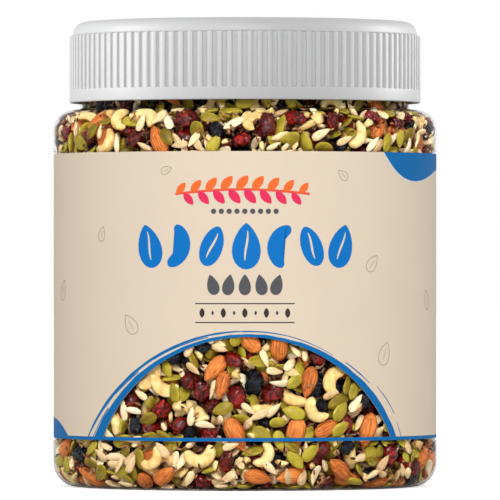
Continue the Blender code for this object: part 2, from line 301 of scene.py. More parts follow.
def jar_shell():
    outer = [(0, PUSH_UP), (PUSH_UP_RADIUS, PUSH_UP), (FOOT_INNER_RADIUS, 0)]
    outer += side_profile(0, 12)
    inner = side_profile(WALL, 12)[::-1]
    inner += [(FOOT_INNER_RADIUS, WALL), (PUSH_UP_RADIUS, PUSH_UP + WALL), (0, PUSH_UP + WALL)]
    piece = turned_piece("jar_shell", outer + inner, 192, clear_plastic(), "clear_plastic")
    piece.data.set_sharp_from_angle(angle=math.radians(25))
    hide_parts("jar")


def cap_plastic():
    """White moulded plastic with a faint satin grain."""
    material = new_material("cap_plastic", (0.45, 0.452, 0.455), 0.45, Specular_IOR_Level=0.5)
    tree = material.node_tree
    grain = add_node(tree, "ShaderNodeTexNoise", {"Vector": object_place(tree), "Scale": 1800.0})
    raise_surface(material, grain.outputs["Fac"], 0.12, 0.0002)
    return material


# One rib across, from the middle of a groove: share of the way to the next groove, and height
RIB_FORM = (
    (0.0, 0.0), (0.20, 0.0), (0.25, 0.10), (0.27, 0.80), (0.31, 0.95), (0.40, 0.99), (0.50, 1.0),
    (0.60, 0.99), (0.69, 0.95), (0.73, 0.80), (0.75, 0.10), (0.80, 0.0),
)


def ribbed_cap():
    """The cap as rings from the hollow's ceiling, down the skirt, up the ribbed grip and over the top."""
    hollow = [(0.0, CEILING), (SKIRT_INNER_RADIUS - CEILING_CORNER, CEILING)]
    hollow += [(SKIRT_INNER_RADIUS, CEILING - CEILING_CORNER), (SKIRT_INNER_RADIUS, CAP_BOTTOM)]
    lip = arc((RIB_CREST_RADIUS - LIP_ROUND, CAP_BOTTOM + LIP_ROUND), LIP_ROUND, -90, 0, 3)
    lip += [(RIB_CREST_RADIUS, RIB_BOTTOM - RIB_END), (RIB_CREST_RADIUS, RIB_BOTTOM)]
    heights = (RIB_BOTTOM + RIB_END, RIB_BOTTOM + 0.0012, RIB_TOP - 0.0010)
    ribs = [(RIB_CREST_RADIUS, z) for z in heights] + [(RIB_CREST_RADIUS - 0.0002, RIB_TOP - RIB_END)]
    top = [(DOME_RADIUS + 0.0007, RIB_TOP - 0.0001), (DOME_RADIUS + 0.0002, RIB_TOP + 0.0001)]
    top += arc((DOME_RADIUS - DOME_FILLET, CAP_TOP - DOME_FILLET), DOME_FILLET, 0, 90, 8)
    top += [(TOP_PANEL_RADIUS + 0.0006, CAP_TOP), (TOP_PANEL_RADIUS + 0.0001, CAP_TOP - 0.0002)]
    panel_radii = (TOP_PANEL_RADIUS - 0.0003, TOP_PANEL_RADIUS - 0.0012, 0.030, 0.0)
    top += [(radius, CAP_TOP - TOP_PANEL_DEPTH) for radius in panel_radii]
    rows = [(r, z, 0) for r, z in hollow + lip] + [(r, z, 1) for r, z in ribs] + [(r, z, 0) for r, z in top]
    grip = [(rib + share, height) for rib in range(RIB_COUNT) for share, height in RIB_FORM]
    loops = []
    for radius, z, ribbed in rows:
        loop = []
        for place, height in grip:
            a = 2 * math.pi * place / RIB_COUNT
            r = radius - RIB_DEPTH * ribbed * (1 - height)
            loop.append((r * math.cos(a), r * math.sin(a), z))
        loops.append(loop)
    piece = mesh_piece("ribbed_cap", *closed_skin(loops), cap_plastic(), "cap_plastic")
    piece.data.set_sharp_from_angle(angle=math.radians(50))
    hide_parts("cap")
    return piece


def print_mottle_group():
    """A flat print colour with a faint uneven tone."""
    takes = {"Print": (0.8, 0.7, 0.6, 1), "Uneven": 0.06}
    group, given, outputs = shader_group("Print mottle", takes, ("Color",))
    entries = {"Vector": object_place(group), "Scale": 45.0, "Detail": 6.0}
    mottle = add_node(group, "ShaderNodeTexNoise", entries)
    centred = arithmetic(group, "SUBTRACT", mottle.outputs["Fac"], 0.5)
    bright = arithmetic(group, "MULTIPLY_ADD", centred, given["Uneven"], 1.0)
    feed(group, outputs, {"Color": scaled_colour(group, given["Print"], bright)})
    return group


def print_colour(name, colour, mottle):
    """Satin printed film."""
    material = new_material(name, colour, 0.60, Specular_IOR_Level=0.12)
    tree = material.node_tree
    printed = add_node(tree, "ShaderNodeGroup", {"Print": (*colour, 1)}, node_tree=mottle)
    feed(tree, principled(material), {"Base Color": printed.outputs["Color"]})
    return material


def label_columns():
    """Angles from the front round to the right, each with the heights at which the label starts and ends."""
    half_width = math.sqrt(WINDOW_RADIUS**2 - LABEL_BAR_TOP**2)
    left = math.asin((WINDOW_SHIFT - half_width) / BODY_RADIUS)
    right = math.asin((WINDOW_SHIFT + half_width) / BODY_RADIUS)
    window_steps, back_steps = 120, 240
    columns = [(left, (LABEL_BOTTOM, LABEL_BAR_TOP, LABEL_TOP))]
    for i in range(1, window_steps):
        angle = (left + right) / 2 + (right - left) / 2 * math.sin(math.pi * (i / window_steps - 0.5))
        arch = math.sqrt(WINDOW_RADIUS**2 - (BODY_RADIUS * math.sin(angle) - WINDOW_SHIFT) ** 2)
        columns.append((angle, (LABEL_BOTTOM, LABEL_BAR_TOP, arch, LABEL_TOP)))
    columns.append((right, (LABEL_BOTTOM, LABEL_BAR_TOP, LABEL_TOP)))
    for i in range(1, back_steps):
        angle = right + (2 * math.pi - right + left) * i / back_steps
        columns.append((angle, (LABEL_BOTTOM, LABEL_TOP)))
    return columns


def label_sleeve(film_beige):
    bm = bmesh.new()
    columns = []
    for angle, heights in label_columns():
        column = {}
        for side, radius in (("out", LABEL_OUTER), ("in", LABEL_INNER)):
            x, y = radius * math.sin(angle), -radius * math.cos(angle)
            column[side] = [bm.verts.new((x, y, z)) for z in heights]
        columns.append(column)
    for a, b in zip(columns, columns[1:] + columns[:1]):
        window_between = min(len(a["out"]), len(b["out"])) > 2
        for side in ("out", "in"):
            if window_between:
                for low, high in ((0, 1), (-2, -1)):
                    bm.faces.new((a[side][low], b[side][low], b[side][high], a[side][high]))
            else:
                bm.faces.new(b[side] + a[side][::-1])
        for level in (0, 1, -2, -1) if window_between else (0, -1):
            bm.faces.new((a["out"][level], b["out"][level], b["in"][level], a["in"][level]))
    bmesh.ops.recalc_face_normals(bm, faces=bm.faces)
    mesh = bpy.data.meshes.new("label_sleeve")
    bm.to_mesh(mesh)
    bm.free()
    mesh.shade_smooth()
    mesh.set_sharp_from_angle(angle=math.radians(40))
    mesh.materials.append(film_beige)
    piece = link_piece("label_sleeve", mesh)
    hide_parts("label")


def egg(t, blunt, taper):
    """Relative half-width along a kernel from its blunt end (0) to its tip (1)."""
    peak = blunt / (blunt + taper)
    return t**blunt * (1 - t) ** taper / (peak**blunt * (1 - peak) ** taper)


def teardrop(length, width, blunt, taper, steps=12):
    """A seed's outline, anticlockwise, pointing up from (0, 0)."""
    t = (1 - np.cos(np.pi * np.arange(steps + 1) / steps)) / 2
    reach = np.where((t > 0) & (t < 1), egg(np.clip(t, 1e-6, 1 - 1e-6), blunt, taper), 0) * width / 2
    right = list(zip(reach, length * (t - 0.5)))
    return right + [(-x, y) for x, y in right[-2:0:-1]]


def crescent(length, width, radius):
    """A cashew's outline: a rounded bar bent round a centre on its left."""
    outline = []
    for x, y in teardrop(length, width, 0.34, 0.38, 18):
        out, angle = radius + x, y / radius
        outline.append((out * math.cos(angle) - radius * 0.7, out * math.sin(angle)))
    return outline


def placed(outline, a, z, lean=0.0):
    """An outline turned clockwise by lean degrees and moved to (a, z) on the label."""
    c, s = math.cos(math.radians(lean)), math.sin(math.radians(lean))
    return [(a + c * x + s * y, z - s * x + c * y) for x, y in outline]


def ribbon(points, widths):
    """Quads along a line, with one width for all of it or one for each of its points."""
    points = np.array(points, float)
    along = np.gradient(points, axis=0)
    across = np.stack([-along[:, 1], along[:, 0]], 1)
    across /= np.linalg.norm(across, axis=1)[:, None]
    half = np.broadcast_to(widths, len(points))[:, None] / 2
    left, right = points + across * half, points - across * half
    return [(right[i], right[i + 1], left[i + 1], left[i]) for i in range(len(points) - 1)]


def loop_line(outline, width):
    """A thin line of even width round an outline."""
    return ribbon(outline + outline[:1], width)


def on_label(r, angle):
    """Where a point of the window's circle, seen from the front, lies on the label: (a, z)."""
    across = WINDOW_SHIFT + r * math.cos(angle)
    return BODY_RADIUS * math.asin(across / BODY_RADIUS), r * math.sin(angle)


def over_window(shares, radii):
    """Points over the window, by share of the way from its right foot (0) to its left (1), and radius."""
    points = []
    for share, r in zip(shares, radii):
        low = math.asin(LABEL_BAR_TOP / r)
        points.append(on_label(r, low + (math.pi - 2 * low) * share))
    return points


def brushed(widths, uneven, seed):
    """Widths along a brush stroke, made uneven."""
    return [w * (1 + uneven * noise.noise(Vector((i * 0.31, seed * 9.7, 0)))) for i, w in enumerate(widths)]


def film(name, shapes, material, lift=0):
    """Ink in the given outlines, (distance round the jar from the front, height), laid round the label."""
    bm = bmesh.new()
    for outline in shapes:
        outline = np.array(outline)
        ahead = np.roll(outline, -1, axis=0)
        if (outline[:, 0] * ahead[:, 1] - outline[:, 1] * ahead[:, 0]).sum() < 0:
            outline = outline[::-1]
        bm.faces.new([bm.verts.new((a, 0.0, z)) for a, z in outline])
    bmesh.ops.triangulate(bm, faces=[f for f in bm.faces if len(f.verts) > 4])
    start = min(v.co.x for v in bm.verts)
    end = max(v.co.x for v in bm.verts)
    for a in np.arange(start + PRINT_STEP, end, PRINT_STEP):
        near = [f for f in bm.faces if min(v.co.x for v in f.verts) < a < max(v.co.x for v in f.verts)]
        edges = list(dict.fromkeys(e for f in near for e in f.edges))
        geom = near + edges + list(dict.fromkeys(v for f in near for v in f.verts))
        bmesh.ops.bisect_plane(bm, geom=geom, dist=1e-7, plane_co=(a, 0, 0), plane_no=(1, 0, 0))
    bmesh.ops.remove_doubles(bm, verts=bm.verts, dist=1e-6)
    radius = INK_RADIUS + lift * INK_LAYER
    for v in bm.verts:
        angle = v.co.x / BODY_RADIUS
        v.co = (radius * math.sin(angle), -radius * math.cos(angle), v.co.z)
    mesh = bpy.data.meshes.new(name)
    bm.to_mesh(mesh)
    bm.free()
    mesh.shade_smooth()
    mesh.materials.append(material)
    piece = link_piece(name, mesh)
    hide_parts("label")


def wave(points):
    """A printed wave as (distance round the jar, height), smoothed from points as (degrees round, height)."""
    degrees, heights = np.array(points).T
    steps = np.linspace(degrees[0], degrees[-1], WAVE_STEPS)
    smooth = np.interp(steps, degrees, heights)
    for _ in range(6):
        smooth[1:-1] = (smooth[:-2] + 2 * smooth[1:-1] + smooth[2:]) / 4
    return [(math.radians(d) * BODY_RADIUS, z) for d, z in zip(steps, smooth)]


def wave_fields(curve, edge):
    """Quads between a wave's curve and the straight edge that it hangs from or stands on."""
    fields = []
    for (a, z), (b, y) in zip(curve, curve[1:]):
        fields.append([(a, edge), (b, edge), (b, y), (a, z)])
    return fields


def blue_bar():
    """The bar along the label's foot, all the way round."""
    half_round = math.pi * BODY_RADIUS
    middle = (LABEL_BOTTOM + LABEL_BAR_TOP) / 2
    line = [(a, middle) for a in np.linspace(-half_round, half_round, BAR_STEPS + 1)]
    return ribbon(line, LABEL_BAR_TOP - LABEL_BOTTOM)


def window_band():
    """The band of ink between the window's edge and the band's brushed outer rim."""
    shares = np.linspace(0, 1, BAND_STEPS + 1)
    arch = over_window(shares, [WINDOW_RADIUS] * (BAND_STEPS + 1))
    rough = [BAND_ROUGHNESS * noise.noise(Vector((i * 0.23, 3.1, 0))) for i in range(BAND_STEPS + 1)]
    rim = over_window(shares, np.interp(shares, *zip(*RIM)) + rough)
    return [(arch[i], rim[i], rim[i + 1], arch[i + 1]) for i in range(BAND_STEPS)]


def arch_strokes():
    """Brush strokes that follow the band on its outside."""
    strokes = []
    for seed, stations in enumerate(ARCH_STROKES):
        shares, radii, widths = zip(*stations)
        start, end = shares[0], shares[-1]
        steps = np.linspace(start, end, max(6, int(STROKE_STEPS * (end - start))))
        line = over_window(steps, np.interp(steps, shares, radii))
        strokes += ribbon(line, brushed(np.interp(steps, shares, widths), STROKE_UNEVENNESS, seed))
    return strokes


def rules():
    """Two thin rules with small diamonds between them."""
    shapes = []
    for z in RULE_HEIGHTS:
        shapes += ribbon([(a, z) for a in np.linspace(-RULE_REACH, RULE_REACH, 12)], RULE_WIDTH)
    for k, a in enumerate(np.linspace(-DIAMOND_REACH, DIAMOND_REACH, DIAMOND_COUNT)):
        size = 0.0040 if k % 2 == 0 else 0.0018
        shapes.append(placed(teardrop(size, size * 0.55, 0.8, 0.8, 6), a, DIAMOND_HEIGHT))
    return shapes


def faint_seeds():
    """Thin outlines of seeds, each with a line down it."""
    lines = []
    for a, z, size, lean in FAINT_SEEDS:
        lines += loop_line(placed(teardrop(size, size * 0.62, 0.5, 0.9), a, z, lean), 0.00024)
        lines += ribbon(placed([(0, -size * 0.28), (0.0001, 0), (0, size * 0.2)], a, z, lean), 0.0002)
    return lines


def printed_label(inks):
    """Everything printed on the sleeve: bar, waves, arch strokes, and plain pictures of nuts and seeds."""
    top, low = wave(WAVE_TOP), wave(WAVE_LOW)
    waves = wave_fields(top, LABEL_TOP) + wave_fields(low, LABEL_BAR_TOP)
    film("blue_print", blue_bar() + waves + window_band(), inks["blue_ink"])
    film("arch_strokes", arch_strokes(), inks["blue_ink"])
    pale_line = [(a, z - WAVE_EDGE_DROP) for a, z in top]
    film("wave_edge", ribbon(pale_line, WAVE_EDGE_WIDTH), inks["pale_ink"])
    for tone, leaves in sprig_leaves().items():
        film("sprig_" + tone.split("_")[0], leaves, inks[tone])
    pictures = [placed(outline, a, PICTURE_HEIGHT, lean) for outline, a, lean in PICTURES]
    film("picture_row", pictures, inks["bold_blue_ink"])
    film("picture_lines", picture_lines(), inks["label_beige"], 1)
    seeds = [placed(teardrop(0.0086, 0.0050, 0.5, 0.9), a, SEED_ROW_HEIGHT, lean) for a, lean in SEED_ROW]
    film("seed_row", seeds, inks["grey_ink"])
    dot = teardrop(0.0022, 0.0022, 0.5, 0.5, 6)
    dots = [placed(dot, a, DOT_ROW_HEIGHT) for a in np.linspace(-DOT_REACH, DOT_REACH, DOT_COUNT)]
    film("dot_row", dots, inks["grey_ink"])
    film("rules", rules(), inks["dark_ink"])
    film("faint_seeds", faint_seeds(), inks["faint_ink"])


def stem_height(share):
    """The sprig's stem rises a little towards its middle."""
    return SPRIG_HEIGHT + SPRIG_RISE * math.cos(math.pi * (share - 0.5))


def sprig_leaves():
    """Leaves on both sides of a curved stem: orange above it, pink below."""
    leaves = {"orange_ink": [], "coral_ink": [], "pink_ink": []}
    for k in range(LEAF_COUNT):
        share = k / (LEAF_COUNT - 1)
        tone, lean = ("orange_ink", 40) if k % 2 == 0 else ("pink_ink", 140)
        size = 0.0058 + 0.0014 * math.sin(math.pi * share)
        rise = math.cos(math.radians(lean)) * size * 0.52
        spot = (LEAF_START + LEAF_SPAN * share, stem_height(share) + rise)
        leaves[tone].append(placed(teardrop(size, size * 0.52, 0.7, 0.8), *spot, lean))
    stem = [(STEM_START + STEM_SPAN * share, stem_height(share)) for share in np.linspace(0, 1, 24)]
    leaves["coral_ink"] = ribbon(stem, STEM_WIDTH)
    return leaves


def picture_lines():
    """A pale rib, widest in its middle, down each bold picture of a kernel. The crescents have none."""
    lines = []
    for outline, a, lean in PICTURES:
        if len(outline) < CRESCENT_POINTS:
            tall = max(y for _, y in outline)
            shares = np.linspace(-0.62, 0.66, len(PICTURE_RIB_WIDTHS))
            rib = [(0.0006 * math.sin(3 * t), tall * t) for t in shares]
            lines += ribbon(placed(rib, a, PICTURE_HEIGHT, lean), PICTURE_RIB_WIDTHS)
    return lines


# Printed curves, (degrees round from the front, height)
WAVE_TOP = (
    (45.5, 0.1386), (47.5, 0.1350), (51, 0.1305), (55.5, 0.1276), (61, 0.1266), (67, 0.1274), (73, 0.1292),
    (80, 0.1314), (92, 0.1325), (106, 0.1300), (120, 0.1268), (133, 0.1278), (144, 0.1322), (152, 0.1386),
)
WAVE_LOW = (
    (-158, 0.0218), (-150, 0.0245), (-138, 0.0300), (-122, 0.0328), (-106, 0.0312), (-90, 0.0293),
    (-80, 0.0287), (-75, 0.0277), (-71.5, 0.0262), (-68.6, 0.0241), (-66, 0.0218),
)
# The band round the window: share of the way from its right foot to its left, and outer radius
RIM = (
    (0, 0.0652), (0.1, 0.0656), (0.22, 0.0652), (0.3, 0.0648), (0.42, 0.0642), (0.5, 0.0640), (0.7, 0.0644),
    (0.78, 0.0650), (0.9, 0.0655), (1, 0.0664),
)
# Strokes outside the band: share of the way round, radius, width
ARCH_STROKES = (
    (
        (0.47, 0.0652, 0.0003), (0.56, 0.0653, 0.0007), (0.70, 0.0660, 0.0009), (0.78, 0.0665, 0.0012),
        (0.85, 0.0670, 0.0014), (0.93, 0.0679, 0.0014), (1, 0.0688, 0.0007),
    ),
    ((0.27, 0.0656, 0.0002), (0.38, 0.0655, 0.0004), (0.51, 0.0651, 0.0005)),
    ((0.155, 0.0668, 0.0002), (0.19, 0.0665, 0.0005), (0.235, 0.0662, 0.0003)),
    ((0.06, 0.0682, 0.0003), (0.10, 0.0684, 0.0005), (0.14, 0.0682, 0.0002)),
    ((0, 0.0672, 0.0003), (0.02, 0.0673, 0.0004), (0.04, 0.0676, 0.0002)),
    ((0.60, 0.0648, 0.0003), (0.66, 0.0651, 0.0004), (0.75, 0.0658, 0.0003)),
    ((0.80, 0.0657, 0.0004), (0.84, 0.0661, 0.0004), (0.88, 0.0667, 0.0002)),
    ((0.92, 0.0660, 0.0006), (0.96, 0.0664, 0.0005), (1, 0.0668, 0.0004)),
)
# Bold pictures across the middle: outline, place round the label, lean in degrees
PICTURES = (
    (teardrop(0.0180, 0.0110, 0.50, 0.75), -0.0408, -14),
    (crescent(0.0200, 0.0062, 0.0084), -0.0282, 12),
    (teardrop(0.0170, 0.0092, 0.50, 0.60), -0.0135, 20),
    (teardrop(0.0190, 0.0118, 0.52, 0.80), 0.0006, 0),
    (crescent(0.0200, 0.0062, 0.0084), 0.0148, 192),
    (teardrop(0.0170, 0.0092, 0.50, 0.60), 0.0278, -22),
    (teardrop(0.0180, 0.0110, 0.50, 0.75), 0.0412, 14),
)
SEED_ROW = ((-0.0132, -16), (-0.0066, 10), (0.0, 0), (0.0066, -10), (0.0132, 16))
# Faint seed outlines: place round the label, height, length, lean in degrees
FAINT_SEEDS = (
    (-0.0500, 0.0680, 0.0090, -35), (0.0570, 0.0930, 0.0080, 40), (-0.0660, 0.1050, 0.0062, 15),
    (0.0420, 0.1290, 0.0055, -50), (0.0640, 0.0560, 0.0100, 20), (-0.0330, 0.1310, 0.0050, 70),
    (0.0980, 0.0780, 0.0085, -20), (0.1350, 0.1040, 0.0070, 55), (0.1680, 0.0560, 0.0095, 10),
    (0.2150, 0.0920, 0.0080, -40), (0.2400, 0.0480, 0.0070, 30), (-0.0980, 0.0820, 0.0090, 25),
    (-0.1330, 0.1150, 0.0065, -60), (-0.1620, 0.0660, 0.0095, -15), (-0.2060, 0.1060, 0.0080, 45),
)

# Trail mix: the core behind the loose pieces, its lumps, and how far the pieces press into each other
CORE_DEPTH = 0.0070
CORE_LUMP_DEPTH, CORE_LUMP_SIZE = 0.0016, 0.0055
CORE_ABOVE_FLOOR, CORE_BELOW_TOP = 0.0060, 0.0004
CLEARANCE = 0.00006
PRESSED = 0.0008
# Pieces are packed up to this height, and this far past the label's edges
MIX_SHOWS_UP_TO = 0.1630
LABEL_OVERLAP = 0.0040
# The packing's grid, points a square metre to feel with, places to stand on, and how many of them are tried
CELL = 0.0007
CLOUD_DENSITY = 4.0e6
STANDS = 40000
TRIES, CHOICE = 16, 12
# Where each tried piece starts above the wall, and what lying in a neighbour counts for against lying deep
START_HEIGHT = 0.003
OVERLAP_WEIGHT = 30
LEAST_OVERLAP = 0.00005
# How late each kind comes to be packed, and the share of all pieces that come early whatever their kind
LATE = {"almond": 0.0, "cashew": 0.0, "cranberry": 0.05, "nut_chunk": 0.3, "brown_seed": 0.9}
USUALLY_LATE = 0.15
EARLY_SHARE = 0.22
# Smallest and largest scale of a piece
USUAL_SIZES = (0.86, 1.12)
SIZES = {
    "raisin": (0.80, 1.32),
    "cranberry": (0.78, 1.15),
    "cashew": (0.76, 1.02),
    "nut_chunk": (0.6, 1.15),
    "brown_seed": (0.6, 1.05),
}
MIX_SEED = 31

# Each kind: length, width, thickness, rings, sides, bluntness, taper, lens edge
SHAPES = {
    "almond": (0.0138, 0.0071, 0.0052, 15, 16, 0.52, 0.80, 0.0),
    "cashew": (0.0176, 0.0060, 0.0052, 17, 14, 0.36, 0.42, 0.0),
    "pumpkin_seed": (0.0087, 0.0052, 0.0020, 8, 12, 0.48, 0.72, 0.35),
    "sunflower_kernel": (0.0078, 0.0034, 0.0023, 8, 10, 0.45, 0.85, 0.15),
    "white_sliver": (0.0096, 0.0036, 0.0014, 8, 10, 0.50, 0.85, 0.0),
    "raisin": (0.0082, 0.0068, 0.0052, 13, 18, 0.46, 0.48, 0.0),
    "cranberry": (0.0096, 0.0082, 0.0060, 14, 20, 0.44, 0.48, 0.0),
    "brown_seed": (0.0036, 0.0013, 0.0010, 3, 6, 0.48, 0.60, 0.1),
}
# How a kernel is roughened: the size of its lumps, their depth, and the depth of its folds
LUMPS = {
    "almond": (0.006, 0.07, 0.0),
    "cashew": (0.0038, 0.13, 0.05),
    "raisin": (0.0019, 0.20, 0.22),
    "cranberry": (0.0024, 0.24, 0.26),
    "white_sliver": (0.004, 0.12, 0.0),
    "pumpkin_seed": (0.004, 0.08, 0.0),
    "sunflower_kernel": (0.004, 0.08, 0.0),
    "brown_seed": (0.004, 0.08, 0.0),
}
# Where the cut face of a halved cashew lies
HALVED_LEVEL = -0.0006
# How much finer than its lumps a skin's folds are, and how steep
FOLD_FINENESS, FOLD_STEEPNESS = 1.9, 2.4
# An almond's grooves: their depth and how many there are, and how far they sway over this length
GROOVES = (0.012, 7)
GROOVE_SWAY, GROOVE_SWAY_LENGTH = 6.0, 0.0145
# How tightly cashews are bent: the least radius, what each further variant adds, and the middle's place on it
CASHEW_BEND, CASHEW_BEND_STEP, BEND_MIDDLE = 0.0048, 0.0005, 0.55
# How a sliver is bowed along its length
SLIVER_BOW, SLIVER_BOW_LENGTH, SLIVER_BOW_LEVEL = 0.5, 0.0098, 0.001
# A bit of diced nut: half its length, width and thickness, and how wide its edges are worn
CHUNK_HALF = (0.0031, 0.0025, 0.0019)
WORN_EDGE = 0.0004
# How many of each are packed round the side wall, and on the floor
COUNTS = {
    "almond": (160, 18),
    "cashew": (112, 12),
    "raisin": (150, 17),
    "cranberry": (210, 20),
    "nut_chunk": (240, 22),
    "pumpkin_seed": (660, 50),
    "sunflower_kernel": (490, 40),
    "white_sliver": (225, 24),
    "brown_seed": (3600, 110),
}
PLURALS = {"cranberry": "cranberries"}
VARIANTS = 7


def kernel(kind):
    """Points and faces of a smooth kernel along X, flat side to Z."""
    length, width, thickness, rings, sides, blunt, taper, lens = SHAPES[kind]
    t = (1 - np.cos(np.pi * np.linspace(0, 1, rings + 2)[1:-1])) / 2
    reach = egg(t, blunt, taper)[:, None]
    turn = 2 * np.pi * np.arange(sides) / sides
    up = np.sin(turn) * np.abs(np.sin(turn)) ** lens
    x = np.repeat((length * (t - 0.5))[:, None], sides, 1)
    y = width / 2 * reach * np.cos(turn)
    z = thickness / 2 * reach * up
    body = np.stack([x, y, z], -1).reshape(-1, 3)
    points = np.concatenate([[[-length / 2, 0, 0]], body, [[length / 2, 0, 0]]])
    faces = []
    for k in range(sides):
        j = (k + 1) % sides
        faces.append((0, 1 + j, 1 + k))
        last = len(points) - 1 - sides
        faces.append((len(points) - 1, last + k, last + j))
        for ring in range(rings - 1):
            a, b = 1 + ring * sides, 1 + (ring + 1) * sides
            faces.append((a + k, a + j, b + j))
            faces.append((a + k, b + j, b + k))
    return points, np.array(faces)


def bent(points, radius):
    """Bends a kernel that lies along X round Z, as a cashew."""
    angle = points[:, 0] / radius
    out = radius + points[:, 1]
    middle = radius * BEND_MIDDLE
    return np.stack([out * np.sin(angle), out * np.cos(angle) - middle, points[:, 2]], 1)


def roughened(points, size, depth, folds, seed):
    """Pushes points in and out: broad lumps of the given size, and sharp folds where folds is over 0."""
    shift = Vector((seed * 7.3, seed * 3.1, seed * 5.7))
    made = points.copy()
    for i, point in enumerate(points):
        place = Vector(point) / size + shift
        lump = noise.noise(place)
        fold = 1 - abs(noise.noise(place * FOLD_FINENESS)) * FOLD_STEEPNESS
        made[i] = point * (1 + depth * lump - folds * max(0.0, fold))
    return made


def grooved(points, depth, count, seed):
    """Shallow grooves that run along an almond."""
    turn = np.arctan2(points[:, 2], points[:, 1])
    drift = GROOVE_SWAY * points[:, 0] / GROOVE_SWAY_LENGTH
    ridge = np.sin(count * turn + 1.3 * np.sin(drift + seed)) + 0.6 * np.sin(count * 1.7 * turn + seed)
    scale = 1 + depth * ridge
    return points * np.stack([np.ones_like(scale), scale, scale], 1)


def chunk(seed):
    """A diced bit of nut: a few flat cut faces with their edges worn."""
    rng = np.random.default_rng(seed)
    half = np.array(CHUNK_HALF) * rng.uniform(0.75, 1.15, 3)
    spread = rng.uniform(-1, 1, (11, 3))
    corners = spread / np.abs(spread).max(1, keepdims=True) ** 0.7 * half
    cuts = []
    for three in itertools.combinations(range(len(corners)), 3):
        a, b, c = corners[list(three)]
        heights = (corners - a) @ np.cross(b - a, c - a)
        if heights.max() < 1e-14 or heights.min() > -1e-14:
            cuts.append(three)
    bm = bmesh.new()
    made = {k: bm.verts.new(corners[k]) for k in sorted({k for three in cuts for k in three})}
    for three in cuts:
        bm.faces.new([made[k] for k in three])
    bmesh.ops.recalc_face_normals(bm, faces=bm.faces)
    bmesh.ops.bevel(
        bm, geom=bm.edges[:], offset=WORN_EDGE, segments=2, affect="EDGES", clamp_overlap=True
    )
    bmesh.ops.triangulate(bm, faces=bm.faces)
    bmesh.ops.recalc_face_normals(bm, faces=bm.faces)
    bm.verts.index_update()
    points = np.array([v.co for v in bm.verts])
    order = np.lexsort(points.round(8).T)
    place = np.argsort(order)
    faces = []
    for face in bm.faces:
        a, b, c = (int(place[v.index]) for v in face.verts)
        faces.append(min((a, b, c), (b, c, a), (c, a, b)))
    bm.free()
    return points[order], np.array(sorted(faces))


def variants_of(kind):
    """Several meshes of one kind, each a little different. Rounded, as all that the packing starts from,
    so that a difference in a number's last digit can't grow into another layout."""
    made = []
    for seed in range(VARIANTS):
        if kind == "nut_chunk":
            made.append(chunk(seed))
            continue
        points, faces = kernel(kind)
        if kind == "almond":
            points = grooved(points, *GROOVES, seed)
        points = roughened(points, *LUMPS[kind], seed)
        if kind == "cashew":
            if seed % 3 == 0:
                points[:, 2] = np.maximum(points[:, 2], HALVED_LEVEL)
            points = bent(points, CASHEW_BEND + CASHEW_BEND_STEP * (seed % 4))
        elif kind == "white_sliver":
            bow = points[:, 0] ** 2 / SLIVER_BOW_LENGTH - SLIVER_BOW_LEVEL
            points[:, 2] += SLIVER_BOW * bow * (seed % 3 - 1)
        made.append((points.round(8), faces))
    return made


def cloud_of(points, faces, rng):
    """Points spread over a mesh's surface, to feel for its neighbours with."""
    corners = points[faces]
    area = np.linalg.norm(np.cross(corners[:, 1] - corners[:, 0], corners[:, 2] - corners[:, 0]), axis=1) / 2
    area = area.round(14)
    count = int(area.sum() * CLOUD_DENSITY)
    picked = corners[rng.choice(len(faces), count, p=area / area.sum())]
    u, v = rng.random((2, count, 1))
    swap = u + v > 1
    u, v = np.where(swap, 1 - u, u), np.where(swap, 1 - v, v)
    return (picked[:, 0] + u * (picked[:, 1] - picked[:, 0]) + v * (picked[:, 2] - picked[:, 0])).round(9)


